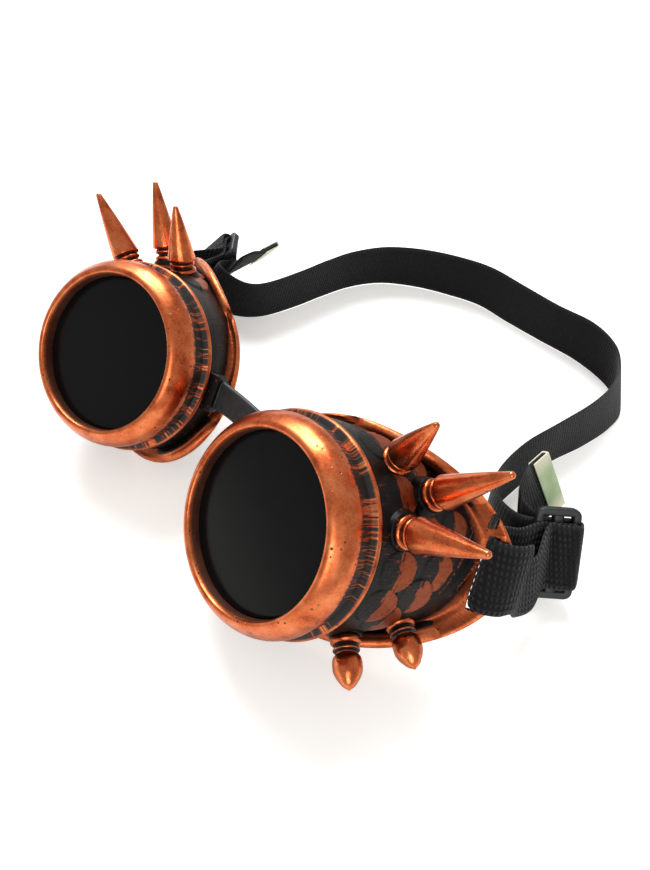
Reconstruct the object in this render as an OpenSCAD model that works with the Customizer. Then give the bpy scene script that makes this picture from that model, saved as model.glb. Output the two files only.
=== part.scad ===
// Steampunk goggles: two deep oval eye cups with screw-on lens rings, cone spikes,
// a flexible nose bridge and an elastic head strap on two slide buckles.
// They lie as they do on a table: +Z up, the lenses face -Y and tip upwards,
// +X is the wearer's left.

/* [Cups] */
// Distance between the two lens centres
eye_gap = 76.1; // [68:0.1:84]
// Height of the lens centres above the table
eye_height = 44.2; // [40:0.1:50]
// How far each cup turns in towards the nose, degrees
toe_in = 9; // [0:0.5:14]
// How far the left cup lies back, degrees
left_recline = 37.7; // [30:0.1:45]
// How far the right cup lies back, degrees
right_recline = 42.3; // [30:0.1:45]
// Turn of the cup's long axis about the lens axis, degrees
cup_clock = 22; // [0:1:30]
// Radius of the cup behind the ring
cup_front_r = 30.2; // [29:0.1:31]
// Wall thickness of the moulded cup
cup_wall = 2.2; // [1.6:0.1:3]
// Reach of the rear rim towards the nose
rim_nose = 36; // [32:0.5:40]
// Reach of the rear rim towards the temple
rim_temple = 46.5; // [42:0.5:50]
// Half height of the rear rim
rim_half = 31.6; // [30:0.2:35]
// Radius of the bead that runs round the rear rim
rim_bead = 1.5; // [1:0.1:2]

/* [Lens ring] */
// Widest radius of the rounded front lip
ring_lip_r = 30; // [29:0.1:31]
// Radius of the window in the lip
ring_window_r = 24.4; // [23:0.1:25]
// Length of the ring along the lens axis
ring_depth = 14.8; // [12:0.1:17]
// Radius over the bead at the ring's rear edge
ring_bead_r = 31.5; // [31:0.1:32]
// Radius of the lens discs
lens_r = 25.4; // [25:0.1:26]
// Radius of the threaded collar, over the thread
collar_r = 27.92; // [27:0.01:28.5]
// Running clearance between ring and collar
collar_fit = 0.08; // [0.02:0.01:0.1]

/* [Spikes] */
// Length of a long spike's cone
cone_len = 22; // [18:0.5:26]
// Radius of a long spike's cone at its base
cone_r = 4.7; // [4:0.1:5.5]
// Length of a short spike beyond its collar
bud_len = 10; // [8:0.5:14]
// Radius of a short spike at its shoulder
bud_r = 4.1; // [3.5:0.1:5]

/* [Strap] */
// Width of the elastic strap
strap_w = 22; // [20:0.5:26]
// Thickness of the elastic strap
strap_t = 1.3; // [1:0.1:2]
// Length of the strap slot in a cup
slot_len = 23; // [21:0.5:26]
// Width of the strap slot in a cup
slot_w = 2.6; // [2.4:0.1:4]
// Length of a slide buckle, across the strap
buckle_len = 31; // [28:0.5:34]
// Width of a slide buckle
buckle_w = 14.4; // [12:0.2:17]
// Thickness of a slide buckle
buckle_t = 3; // [2.4:0.1:4]
// Width of the nose bridge band
bridge_w = 9.5; // [7:0.5:12]
// Thickness of the nose bridge band
bridge_t = 2; // [1.5:0.1:3]

/* [Hidden] */
copper = [0.72, 0.36, 0.20];
black = [0.07, 0.07, 0.07];
dark = [0.04, 0.05, 0.05];
webbing = [0.13, 0.13, 0.14];
steel = [0.68, 0.75, 0.64];
// shift that brings the middle of the whole object's footprint to the origin
shift_y = -88.6;
shift_x = 0;
shift_z = 0.13;

// each spike: foot radius, angle round the cup, depth behind the lip, lean forward, lean round, share of the cone's length
long_spikes = [[32.6, 51, -26.6, 0.58, -0.13, 0.8], [36.9, 32.4, -31.7, 0.34, -0.02, 1], [33.4, 17.8, -22.5, 0.33, -0.1, 1]];
short_spikes = [[33.4, -50, -28, 0.45, 0.1], [34.6, -34, -41.8, 0.35, 0]];

function unit(v) = v / norm(v);
function lerp(a, b, t) = a + (b - a) * t;
// smooth curve through four points
function spline(a, b, c, d, t) = 0.5 * (2 * b + (c - a) * t + (2 * a - 5 * b + 4 * c - d) * t * t + (3 * b - a - 3 * c + d) * t * t * t);
function clampi(i, n) = max(0, min(n - 1, i));
function smooth_path(p, k) = let (n = len(p))
    [for (i = [0:n - 2]) for (j = [0:k - 1]) spline(p[clampi(i - 1, n)], p[i], p[i + 1], p[clampi(i + 2, n)], j / k), p[n - 1]];

// depth of the rear rim behind the lip at a distance x towards the temple
function rim_z(x) = -31 - (x > 0 ? 0.0152 * x * x : -0.0085 * x * x);
function rim_pt(a) = let (mid = (rim_temple - rim_nose) / 2, half = (rim_temple + rim_nose) / 2, x = mid + half * cos(a))
    [x, rim_half * sin(a), rim_z(x)];
// the wall's line just before it flares into the rim flange
function waist_pt(a) = let (w = (1 + cos(a)) / 2, mid = 3.4, half = 35.4, x = mid + half * cos(a))
    [x, (rim_half - 1.2) * sin(a), lerp(-24.6, -55.4, pow(w, 1.9)) + (cos(a) < 0 ? 2.6 * cos(a) * cos(a) : 0)];
function front_pt(a, r, z) = [r * cos(a), r * sin(a), z];
// closed section of the cup wall at one angle: outside, round the bead, back inside
function cup_section(a) =
    let (f = front_pt(a, cup_front_r, -15.2), w = waist_pt(a), r = rim_pt(a),
         out = [cos(a), sin(a), 0],
         m1 = lerp(f, w, 0.33) + out * 0.35, m2 = lerp(f, w, 0.68) + out * 0.25,
         d = unit(r - w), n = unit(out - d * (out * d)),
         inner = -cup_wall * out)
    concat(
        [f, m1, m2, w, lerp(w, r, 0.55) + n * 0.1],
        [for (t = [110:-44:-110]) r + rim_bead * (cos(t) * d + sin(t) * n)],
        [lerp(w, r, 0.55) - n * (cup_wall - 0.3), w + inner - [0, 0, 0.6], m2 + inner, m1 + inner, f + inner]);

// where the bridge band is seated: angle round the cup and depth behind the lip
bridge_at = 142;
bridge_z = -18.6;

cup_steps = 48;
module wall_loft() {
    secs = [for (i = [0:cup_steps - 1]) cup_section(i * 360 / cup_steps)];
    m = len(secs[0]);
    polyhedron(
        points = [for (s = secs) for (p = s) p],
        faces = [for (i = [0:cup_steps - 1]) for (j = [0:m - 1]) for (k = [0, 1])
            let (i2 = (i + 1) % cup_steps, j2 = (j + 1) % m)
            k == 0 ? [i * m + j, i2 * m + j, i * m + j2] : [i2 * m + j, i2 * m + j2, i * m + j2]]);
}

// places children with their z axis along a spike, its foot at the spike's foot point
module on_spike(s) {
    a = s[1];
    rad = [cos(a), sin(a), 0];
    dir = unit(rad + s[4] * [-sin(a), cos(a), 0] + [0, 0, s[3]]);
    translate([s[0] * cos(a), s[0] * sin(a), s[2]])
        rotate([0, acos(dir[2]), atan2(dir[1], dir[0])])
            children();
}

// one half-moon scale: a tilted disc whose rear edge stands out of the wall
module scale_disc(a, z, r, size, lift) {
    rotate([0, 0, a]) translate([r, 0, z]) rotate([0, 90 - lift, 0])
        cylinder(r = size, h = 2.2, center = true, $fn = 28);
}

// rows of scales: angle, depth, wall radius
scales = [
    [-6, -25, 31.4], [8, -30, 33.0], [-20, -28, 31.4], [-9, -37, 34.3], [5, -41, 36.4], [-23, -38, 33.3], [20, -38, 35.4],
    [-36, -24.5, 30.8], [30, -24.5, 31.6], [43, -33.5, 33.3]];

module bridge_pad() {
    rotate([0, 0, bridge_at]) translate([31.2, 0, bridge_z]) rotate([0, 90, 0])
        linear_extrude(height = 5.2, center = true) offset(r = 1) square([3.4, bridge_w + 1.2], center = true);
}

// cup in its own axes: z forward out of the lens, x towards the temple
module cup_solid() {
    difference() {
        union() {
            wall_loft();
            // threaded collar and the shoulder that carries it
            rotate_extrude($fn = 96) polygon([[25.6, -9.7], [collar_r - 0.5, -9.7], [collar_r, -10.2], [collar_r, -15],
                [cup_front_r - 0.5, -15], [cup_front_r - 1.1, -17.6], [25.6, -17.6]]);
            for (s = long_spikes) on_spike(s) translate([0, 0, -4.4]) cylinder(r1 = 6, r2 = 4.9, h = 4.4, $fn = 32);
            for (s = short_spikes) on_spike(s) translate([0, 0, -3.4]) cylinder(r1 = 5.4, r2 = 4.5, h = 3.4, $fn = 32);
            for (s = scales) scale_disc(s[0], s[1], s[2], 5.6, 13);
            // two louvre steps in front of the strap slot
            for (k = [0, 1]) translate([36.9 + 0.9 * k, 0, -45 - 5.6 * k]) rotate([0, -8, 0])
                linear_extrude(height = 2.4, center = true) square([3.6, 25 - 2 * k], center = true);
            bridge_pad();
        }
        // strap slot, through the temple flange
        translate([41.09, 0, -57.92]) rotate([0, 50, 0])
            linear_extrude(height = 16, center = true) square([slot_w, slot_len], center = true);
        // small slot above it
        translate([39.6, 15.8, -56.4]) rotate([0, 0, 14]) rotate([0, 50, 0])
            linear_extrude(height = 12, center = true) square([2, 4.4], center = true);
        // slits behind the louvre steps
        for (k = [0, 1]) translate([38.6 + 0.7 * k, 0, -46.9 - 5.6 * k]) rotate([0, 78, 0])
            linear_extrude(height = 6, center = true) square([1.1, 19], center = true);
        // air holes under the scales
        for (s = scales) rotate([0, 0, s[0]]) translate([s[2] - 2.2, 0, s[1] - 3.8]) rotate([0, 62, 0])
            linear_extrude(height = 5, center = true) square([1.3, 5.2], center = true);
        // spot faces that seat the spikes' feet, and their screw holes
        for (s = long_spikes) on_spike(s) translate([0, 0, -0.05]) cylinder(r = 4.55, h = 6, $fn = 40);
        for (s = short_spikes) on_spike(s) translate([0, 0, -0.05]) cylinder(r = 4.75, h = 6, $fn = 40);
        for (s = concat(long_spikes, short_spikes)) on_spike(s) translate([0, 0, -12]) cylinder(r = 1.6, h = 14, $fn = 24);
        // seat of the bridge band in its block, and the pin hole across it
        rotate([0, 0, bridge_at]) translate([32.4, 0, bridge_z]) rotate([0, 90, 0])
            linear_extrude(height = 5, center = true) square([bridge_t + 0.2, bridge_w + 0.3], center = true);
        rotate([0, 0, bridge_at]) translate([32.1, 0, bridge_z]) cylinder(r = 0.8, h = 14, center = true, $fn = 16);
    }
}

module ring_solid() {
    rotate_extrude($fn = 120) polygon(concat(
        [[ring_window_r, -2.2], [ring_window_r, -1.2], [ring_window_r + 0.4, -0.5], [ring_window_r + 1.2, -0.3], [26.6, -0.8]],
        [[27.7, -1.9], [28.7, -3.1], [29.4, -4.4], [29.85, -5.6], [ring_lip_r, -6.8], [29.85, -7.8], [29.5, -8.5]],
        [[29.35, -9.2], [29.45, -12.3], [30.5, -12.9], [31.2, -13.2], [ring_bead_r, -13.8], [31.2, -14.5], [30.6, -ring_depth],
         [collar_r + collar_fit, -ring_depth], [collar_r + collar_fit, -9.5], [lens_r + 0.3, -9.2], [lens_r + 0.3, -4.5], [ring_window_r, -4.5]]));
}

module lens_disc(z0, h, crown) {
    rotate_extrude($fn = 96) polygon([[0, z0], [0, z0 - h], [lens_r - 0.3, z0 - h], [lens_r, z0 - h + 0.3], [lens_r, z0 - 0.3], [lens_r - 0.3, z0]]);
}

// tinted lens with a raised front that fits the window, and a rim behind the lip
module stepped_lens() {
    rotate_extrude($fn = 96) polygon([[0, -4.2], [0, -6.6], [lens_r - 0.3, -6.6], [lens_r, -6.3], [lens_r, -4.6], [ring_window_r - 0.3, -4.6], [ring_window_r - 0.3, -4.2]]);
}

module gasket_solid() {
    rotate_extrude($fn = 80) polygon([[22.8, -8.75], [25.3, -8.75], [25.3, -9.6], [22.8, -9.6]]);
}

// long spike, foot at the origin, point towards +z
module long_spike(share) {
    rotate_extrude($fn = 40) polygon(concat(
        [[0, 0], [4.2, 0], [4.4, 0.3], [4.4, 1.1], [4.1, 1.4], [3.1, 1.6], [3.1, 2.2], [3.9, 2.4], [4.1, 2.7], [4.1, 3.2], [3.6, 3.5], [3.4, 3.9]],
        [[cone_r - 0.4, 4], [cone_r, 4.5], [cone_r - 0.1, 5.2]],
        [for (a = [10:20:90]) [1.0 * cos(a), 3 + cone_len * share + 1.0 * sin(a)]]));
}

// short spike: wide foot collar, thin ring, groove, then a bullet with a rounded shoulder
module short_spike() {
    rotate_extrude($fn = 36) polygon(concat(
        [[0, 0], [4.0, 0], [4.3, 0.4], [4.3, 1.6], [3.8, 2.1], [3.0, 2.4], [3.0, 2.9], [3.6, 3.1], [3.8, 3.5], [3.6, 3.9], [2.9, 4.1], [2.8, 4.5]],
        [for (t = [0:0.125:0.5]) [2.9 + (bud_r - 2.9) * sin(t * 180), 4.6 + 7.2 * t]],
        [for (q = [[0.97, 0.52], [0.82, 0.66], [0.62, 0.78], [0.42, 0.88]]) [bud_r * q[0], 3.9 + bud_len * q[1]]],
        [for (a = [20:35:90]) [0.8 * cos(a), 3.9 + bud_len - 0.8 + 0.8 * sin(a)]]));
}

// pan head screw that holds a spike from inside the cup
module spike_screw(len) {
    translate([0, 0, -len]) cylinder(r = 1.5, h = len, $fn = 20);
    translate([0, 0, -len - 1.7]) cylinder(r1 = 2.2, r2 = 2.9, h = 1.7, $fn = 24);
}

module buckle_solid() {
    // z along the strap's width, x through the plate, y across the bars
    rotate([0, 90, 0]) linear_extrude(height = buckle_t, center = true) difference() {
        offset(r = 2.2) square([buckle_len - 4.4, buckle_w - 4.4], center = true);
        for (k = [-1, 1]) translate([0, k * buckle_w / 4.35]) square([strap_w + 1.6, 3.9], center = true);
    }
}

// flat strap through stations of [bottom edge, top edge], with its thickness across
module ribbon(st, t, k = 3) {
    p = smooth_path(st, k);
    n = len(p);
    lo = [for (s = p) [s[0], s[1], s[2]]];
    hi = [for (s = p) [s[3], s[4], s[5]]];
    mid = [for (i = [0:n - 1]) (lo[i] + hi[i]) / 2];
    nor = [for (i = [0:n - 1]) unit(cross(mid[min(i + 1, n - 1)] - mid[max(i - 1, 0)], hi[i] - lo[i]))];
    pts = [for (i = [0:n - 1]) each [lo[i] - nor[i] * t / 2, lo[i] + nor[i] * t / 2, hi[i] + nor[i] * t / 2, hi[i] - nor[i] * t / 2]];
    polyhedron(pts, concat([[0, 1, 2], [0, 2, 3]],
        [for (i = [0:n - 2]) for (j = [0:3]) for (q = [0, 1]) let (a = 4 * i + j, b = 4 * i + (j + 1) % 4)
            q == 0 ? [a, a + 4, b] : [b, a + 4, b + 4]],
        [[4 * n - 4, 4 * n - 2, 4 * n - 3], [4 * n - 4, 4 * n - 1, 4 * n - 2]]));
}

// the buckle's own axes: long direction, strap direction, across the bars
buckle_mid = [95.2, 81, 15.6];
buckle_up = unit([-18, 14, 26]);
buckle_along = unit([0.721, 0.68, 0.132]);
buckle_across = cross(buckle_along, buckle_up);
module at_buckle() {
    u = buckle_up; d = buckle_along; w = buckle_across;
    multmatrix([[d[0], w[0], u[0], buckle_mid[0]], [d[1], w[1], u[1], buckle_mid[1]], [d[2], w[2], u[2], buckle_mid[2]], [0, 0, 0, 1]]) children();
}
// station at the buckle: distance along the strap and offset across the bars
function bs(along, across) = let (c = buckle_mid + buckle_along * along + buckle_across * across, h = buckle_up * strap_w / 2)
    [c[0] - h[0], c[1] - h[1], c[2] - h[2], c[0] + h[0], c[1] + h[1], c[2] + h[2]];

// station at a cup's strap bar: distance out from the wall, height above the flange, place up the slot
function bar_st(side, s, h, y) = let (x = 38.8 + 0.6727 * s + 0.74 * h, z = -55.4 - 0.74 * s + 0.6727 * h, lo = [x, y - 11, z], hi = [x, y + 11, z])
    side > 0 ? concat(left_pt(lo), left_pt(hi)) : concat(right_pt(lo), right_pt(hi));
function sided(side, st) = side > 0 ? st : [-st[0], st[1], st[2], -st[3], st[4], st[5]];
// the folded clip's place, the direction along its fold and the way out of the strap's end
clip_mid = [79, 96.3, 22.8];
clip_long = unit([-14.8, -1.8, 16.2]);
clip_out = unit([0.02, 1, 0.12]);
clip_way = unit(clip_out - clip_long * (clip_out * clip_long));
function clip_st(k) = let (c = clip_mid + clip_way * k, h = clip_long * strap_w / 2) concat(c - h, c + h);

// strap stations, bottom edge then top edge, in the table's axes
loop_in = [bs(3.4, -2.2), bs(5.2, -1.7), bs(5.9, 0), bs(5.2, 1.7), bs(3.4, 2.2), bs(0, 2.2), bs(-6, 2.2), [94.2, 65.4, 8.4, 83.4, 71.2, 26.6], [89.2, 57, 11.2, 79.8, 65.4, 28.8]];
loop_out = [[99.6, 56.4, 9.4, 90.6, 62.8, 28], [101.9, 64.5, 6.4, 92.2, 68.6, 26.3], bs(-4, 4.1), bs(0, 4), bs(2.8, 4)];
// out from the wall, height above the flange, place up the slot
loop_bar = [[7.2, -4.6, 0.4], [4.6, -3, 0], [3.5, -1.2, 0], [3.4, 0.6, 0], [4.2, 2.3, 0], [6.8, 3.2, 0], [11, 3.4, 0.6], [15.4, 1.4, 1.4]];
function loop_path(side) = concat([for (st = loop_in) sided(side, st)], [for (b = loop_bar) bar_st(side, b[0], b[1], b[2])], [for (st = loop_out) sided(side, st)]);
tail_path = [bs(3.3, 4), bs(6.2, 3.5), bs(7.9, 0), bs(6.2, -3.5), bs(3.4, -4), bs(0, -4.1), bs(-4, -4.7), [88.1, 75.9, 7.6, 77.3, 81.9, 25.6],
    [86.2, 77.4, 11.4, 74.4, 82, 29], [85.6, 84.6, 13.6, 72.4, 86.4, 31], clip_st(-5), clip_st(-3), clip_st(2.6)];
left_run = [bs(3.4, -2.2), bs(0, -2.2), bs(-6, -2.2), [88.6, 68.4, 6.6, 79.6, 76, 25.4], [80.6, 70.4, 4.2, 72.6, 77.4, 23.6], [73.6, 77.4, 2, 67.2, 82.6, 22.4], [70.6, 88, 0.6, 64, 92, 21.2], [70.2, 108, 0.3, 63.4, 108, 21.2], [71.4, 128, 0.2, 66, 127, 21.4], [75.4, 147, 0.2, 68.4, 148, 21], [77.6, 166, 0.2, 68, 165.6, 20],
    [75.6, 180.6, 0.2, 63.6, 182.4, 18.6], [63.4, 190.6, 0.2, 55.6, 191, 20.6], [45, 193.6, 0.2, 42, 194.2, 21.8], [24.6, 190.6, 0.2, 24.4, 190.4, 22], [6, 188, 0.2, 6, 188.4, 22.2]];
right_run = [[6, 188, 0.2, 6, 188.4, 22.2], [-11, 186.2, 0.2, -12, 186.6, 22.2], [-27, 178, 0.2, -27, 179.6, 22], [-41, 168, 0.2, -41.6, 168, 22], [-53, 154.6, 0.2, -53, 153, 22], [-59.4, 138, 0.2, -58.6, 136, 22], [-61.6, 120, 0.2, -60, 120, 22], [-62.6, 104, 0.2, -60.2, 103, 22]];
right_end = [[-62.6, 103.6, 0.2, -60.2, 102.6, 22], [-65.4, 86.6, 0.4, -61.6, 86, 22], [-71.4, 75.4, 1.6, -65, 77.8, 22.6], [-80, 69.4, 4.4, -72, 73.6, 24.2], [-88.4, 68, 6.6, -80.4, 73.6, 25.6], bs(-6, -2.2), bs(0, -2.2), bs(3.4, -2.2)];
function flip(st) = [for (s = st) [-s[0], s[1], s[2], -s[3], s[4], s[5]]];
// right side stations reuse the left buckle's, mirrored, once the free run has been left
right_end_pts = [for (i = [0:len(right_end) - 1]) i < 5 ? right_end[i] : flip([right_end[i]])[0]];

module on_table() { translate([shift_x, shift_y, shift_z]) children(); }
module left_side() { on_table() translate([eye_gap / 2, 0, eye_height]) rotate([90 - left_recline, 0, 0]) rotate([0, -toe_in, 0]) rotate([0, 0, cup_clock]) children(); }
module right_side() { on_table() translate([-eye_gap / 2, 0, eye_height]) rotate([90 - right_recline, 0, 0]) rotate([0, toe_in, 0]) mirror([1, 0, 0]) rotate([0, 0, cup_clock]) children(); }
module right_mirror() { on_table() mirror([1, 0, 0]) children(); }

module left_eye_cup() { color(black) left_side() cup_solid(); }
module left_retaining_ring() { color(copper) left_side() ring_solid(); }
module left_tinted_lens() { color(dark) left_side() stepped_lens(); }
module left_clear_lens() { color([0.7, 0.75, 0.75]) left_side() lens_disc(-6.7, 1.95, 0); }
module left_lens_gasket() { color(black) left_side() gasket_solid(); }
module left_spike_top() { color(copper) left_side() on_spike(long_spikes[0]) long_spike(long_spikes[0][5]); }
module left_spike_rear() { color(copper) left_side() on_spike(long_spikes[1]) long_spike(long_spikes[1][5]); }
module left_spike_side() { color(copper) left_side() on_spike(long_spikes[2]) long_spike(long_spikes[2][5]); }
module left_spike_low_front() { color(copper) left_side() on_spike(short_spikes[0]) short_spike(); }
module left_spike_low_rear() { color(copper) left_side() on_spike(short_spikes[1]) short_spike(); }
module left_spike_screws() { color(steel) left_side() screws(); }
module left_strap_loop() { color(webbing) on_table() ribbon(loop_path(1), strap_t); }
module left_strap_tail() { color(webbing) on_table() ribbon(tail_path, strap_t); }
module left_strap_slider() { color(black) on_table() at_buckle() buckle_solid(); }
module left_strap_clip() { color(steel) on_table() clip_solid(); }

module right_eye_cup() { color(black) right_side() cup_solid(); }
module right_retaining_ring() { color(copper) right_side() ring_solid(); }
module right_tinted_lens() { color(dark) right_side() stepped_lens(); }
module right_clear_lens() { color([0.7, 0.75, 0.75]) right_side() lens_disc(-6.7, 1.95, 0); }
module right_lens_gasket() { color(black) right_side() gasket_solid(); }
module right_spike_top() { color(copper) right_side() on_spike(long_spikes[0]) long_spike(long_spikes[0][5]); }
module right_spike_rear() { color(copper) right_side() on_spike(long_spikes[1]) long_spike(long_spikes[1][5]); }
module right_spike_side() { color(copper) right_side() on_spike(long_spikes[2]) long_spike(long_spikes[2][5]); }
module right_spike_low_front() { color(copper) right_side() on_spike(short_spikes[0]) short_spike(); }
module right_spike_low_rear() { color(copper) right_side() on_spike(short_spikes[1]) short_spike(); }
module right_spike_screws() { color(steel) right_side() screws(); }
module right_strap_loop() { color(webbing) on_table() ribbon(loop_path(-1), strap_t); }
module right_strap_tail() { color(webbing) right_mirror() ribbon(tail_path, strap_t); }
module right_strap_slider() { color(black) right_mirror() at_buckle() buckle_solid(); }
module right_strap_clip() { color(steel) right_mirror() clip_solid(); }

module screws() {
    for (s = long_spikes) on_spike(s) spike_screw(6.6);
    for (s = short_spikes) on_spike(s) spike_screw(5.6);
}

// folded metal end of the strap's tail: two leaves and the fold between them
module clip_solid() {
    o = clip_way;
    w = cross(o, clip_long);
    multmatrix([[o[0], w[0], clip_long[0], clip_mid[0]], [o[1], w[1], clip_long[1], clip_mid[1]], [o[2], w[2], clip_long[2], clip_mid[2]], [0, 0, 0, 1]])
        linear_extrude(height = strap_w - 0.6, center = true)
            polygon([[-4, -1.3], [3.6, -1.3], [4.2, -0.7], [4.2, 0.7], [3.6, 1.3], [-4, 1.3], [-4, 0.85], [3.2, 0.85], [3.4, 0.6], [3.4, -0.6], [3.2, -0.85], [-4, -0.85]]);
}

// flexible band between the two cups, lying on the pads behind the rings
function band_pt(r, h) = [r * cos(bridge_at) - h * sin(bridge_at), r * sin(bridge_at) + h * cos(bridge_at), bridge_z];
function turn_z(v, a) = [v[0] * cos(a) - v[1] * sin(a), v[0] * sin(a) + v[1] * cos(a), v[2]];
function turn_y(v, a) = [v[0] * cos(a) + v[2] * sin(a), v[1], -v[0] * sin(a) + v[2] * cos(a)];
function turn_x(v, a) = [v[0], v[1] * cos(a) - v[2] * sin(a), v[1] * sin(a) + v[2] * cos(a)];
function left_pt(v) = turn_x(turn_y(turn_z(v, cup_clock), -toe_in), 90 - left_recline) + [eye_gap / 2, 0, eye_height];
function right_pt(v) = let (m = turn_z(v, cup_clock)) turn_x(turn_y([-m[0], m[1], m[2]], toe_in), 90 - right_recline) + [-eye_gap / 2, 0, eye_height];
function left_st(r) = concat(left_pt(band_pt(r, bridge_w / 2)), left_pt(band_pt(r, -bridge_w / 2)));
function right_st(r) = concat(right_pt(band_pt(r, bridge_w / 2)), right_pt(band_pt(r, -bridge_w / 2)));
bridge_st = [left_st(30.4), left_st(32.2), left_st(33.8), left_st(34.6), lerp(left_st(35.4), right_st(35.4), 0.5), right_st(34.6), right_st(33.8), right_st(32.2), right_st(30.4)];
module nose_bridge() {
    color(black) on_table() ribbon(bridge_st, bridge_t);
}

module left_run_strap() { color(webbing) on_table() ribbon(left_run, strap_t); }
module right_run_strap() { color(webbing) on_table() ribbon(right_run, strap_t); }
module right_end_strap() { color(webbing) on_table() ribbon(right_end_pts, strap_t); }

left_eye_cup();
left_retaining_ring();
left_tinted_lens();
left_clear_lens();
left_lens_gasket();
left_spike_top();
left_spike_rear();
left_spike_side();
left_spike_low_front();
left_spike_low_rear();
left_spike_screws();
left_strap_loop();
left_strap_tail();
left_strap_slider();
left_strap_clip();
right_eye_cup();
right_retaining_ring();
right_tinted_lens();
right_clear_lens();
right_lens_gasket();
right_spike_top();
right_spike_rear();
right_spike_side();
right_spike_low_front();
right_spike_low_rear();
right_spike_screws();
right_strap_loop();
right_strap_tail();
right_strap_slider();
right_strap_clip();
nose_bridge();
left_run_strap();
right_run_strap();
right_end_strap();
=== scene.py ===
import bpy
import bmesh
import mathutils
import math
import numpy as np
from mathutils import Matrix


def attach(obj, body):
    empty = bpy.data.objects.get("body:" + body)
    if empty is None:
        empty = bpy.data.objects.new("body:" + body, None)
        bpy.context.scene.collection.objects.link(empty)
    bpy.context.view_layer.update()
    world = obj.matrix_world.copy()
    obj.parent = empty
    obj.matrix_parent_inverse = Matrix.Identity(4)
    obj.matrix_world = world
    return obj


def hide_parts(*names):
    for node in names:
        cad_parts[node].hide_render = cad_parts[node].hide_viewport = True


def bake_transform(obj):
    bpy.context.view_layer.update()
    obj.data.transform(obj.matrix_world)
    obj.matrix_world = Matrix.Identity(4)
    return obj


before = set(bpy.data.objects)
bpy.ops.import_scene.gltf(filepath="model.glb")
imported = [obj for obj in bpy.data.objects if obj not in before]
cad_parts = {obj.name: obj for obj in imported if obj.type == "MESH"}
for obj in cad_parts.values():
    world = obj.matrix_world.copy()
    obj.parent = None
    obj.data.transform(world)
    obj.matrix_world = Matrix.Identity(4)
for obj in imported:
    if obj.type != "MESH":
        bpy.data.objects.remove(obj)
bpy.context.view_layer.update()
print("frame loaded")

# Lengths in this script are millimetres until a mesh is made; a mesh is in metres.
# The layout repeats the driving sizes of the part's source.
layout = {
    "eyeGap": 76.1, "eyeHeight": 44.2, "toeIn": 9.0, "leftRecline": 37.7, "rightRecline": 42.3, "clock": 22.0,
    "shift": np.array([0.0, -88.6, 0.13]), "strapWidth": 22.0, "strapThick": 1.3,
}


def turnX(deg):
    c, s = math.cos(math.radians(deg)), math.sin(math.radians(deg))
    return np.array([[1, 0, 0], [0, c, -s], [0, s, c]])


def turnY(deg):
    c, s = math.cos(math.radians(deg)), math.sin(math.radians(deg))
    return np.array([[c, 0, s], [0, 1, 0], [-s, 0, c]])


def turnZ(deg):
    c, s = math.cos(math.radians(deg)), math.sin(math.radians(deg))
    return np.array([[c, -s, 0], [s, c, 0], [0, 0, 1]])


# each cup's own axes: x to the temple, y up, z out of the lens, origin at the lip's front plane
cupTurn = {
    "left": turnX(90 - layout["leftRecline"]) @ turnY(-layout["toeIn"]) @ turnZ(layout["clock"]),
    "right": turnX(90 - layout["rightRecline"]) @ turnY(layout["toeIn"]) @ np.diag([-1.0, 1, 1]) @ turnZ(layout["clock"]),
}
cupPlace = {side: layout["shift"] + np.array([sign * layout["eyeGap"] / 2, 0, layout["eyeHeight"]])
            for side, sign in (("left", 1), ("right", -1))}


def toWorld(side, points):
    return points @ cupTurn[side].T + cupPlace[side]


def unit(v):
    return v / np.linalg.norm(v, axis=-1, keepdims=True)


# sRGB hex to linear: c / 12.92 below 0.04045, else ((c + 0.055) / 1.055) ^ 2.4.
def linearOf(hexText):
    c = np.array([int(hexText[i:i + 2], 16) / 255 for i in (1, 3, 5)])
    lin = np.where(c <= 0.04045, c / 12.92, ((c + 0.055) / 1.055) ** 2.4)
    return (*map(float, lin), 1.0)


# Adds a node; inputs maps a socket's name or number to a value or to another node's output.
def node(tree, kind, inputs=(), **settings):
    made = tree.nodes.new(kind)
    for key, value in settings.items():
        setattr(made, key, value)
    for key, value in dict(inputs).items():
        socket = made.inputs[key]
        if isinstance(value, bpy.types.NodeSocket):
            tree.links.new(value, socket)
        else:
            socket.default_value = value
    return made


# Colour ramp through (place, hex) stops.
def ramp(tree, value, stops):
    made = node(tree, "ShaderNodeValToRGB", {"Fac": value})
    bar = made.color_ramp
    while len(bar.elements) < len(stops):
        bar.elements.new(0.5)
    for element, (place, colour) in zip(bar.elements, stops):
        element.position = place
        element.color = linearOf(colour)
    return made.outputs["Color"]


# Noise in cells per millimetre: the piece's own millimetres are the input.
def noise(tree, vector, scale, detail=3.0, rough=0.55, stretch=(1, 1, 1)):
    place = node(tree, "ShaderNodeMapping", {"Vector": vector, "Scale": stretch}).outputs[0]
    return node(tree, "ShaderNodeTexNoise", {"Vector": place, "Scale": scale, "Detail": detail, "Roughness": rough}).outputs["Fac"]


def calc(tree, what, a, b=0.0, clamp=False):
    return node(tree, "ShaderNodeMath", {0: a, 1: b}, operation=what, use_clamp=clamp).outputs[0]


# 0 below low, 1 above high, smooth between.
def stepUp(tree, value, low, high):
    inputs = {"Value": value, "From Min": low, "From Max": high}
    return node(tree, "ShaderNodeMapRange", inputs, interpolation_type="SMOOTHSTEP", clamp=True).outputs[0]


def blendColour(tree, factor, first, second):
    made = node(tree, "ShaderNodeMix", {"Factor": factor}, data_type="RGBA")
    for socket, value in ((made.inputs[6], first), (made.inputs[7], second)):
        if isinstance(value, bpy.types.NodeSocket):
            tree.links.new(value, socket)
        else:
            socket.default_value = linearOf(value)
    return made.outputs[2]


def blendNumber(tree, factor, first, second):
    return node(tree, "ShaderNodeMapRange", {"Value": factor, "To Min": first, "To Max": second}, clamp=True).outputs[0]


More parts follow.
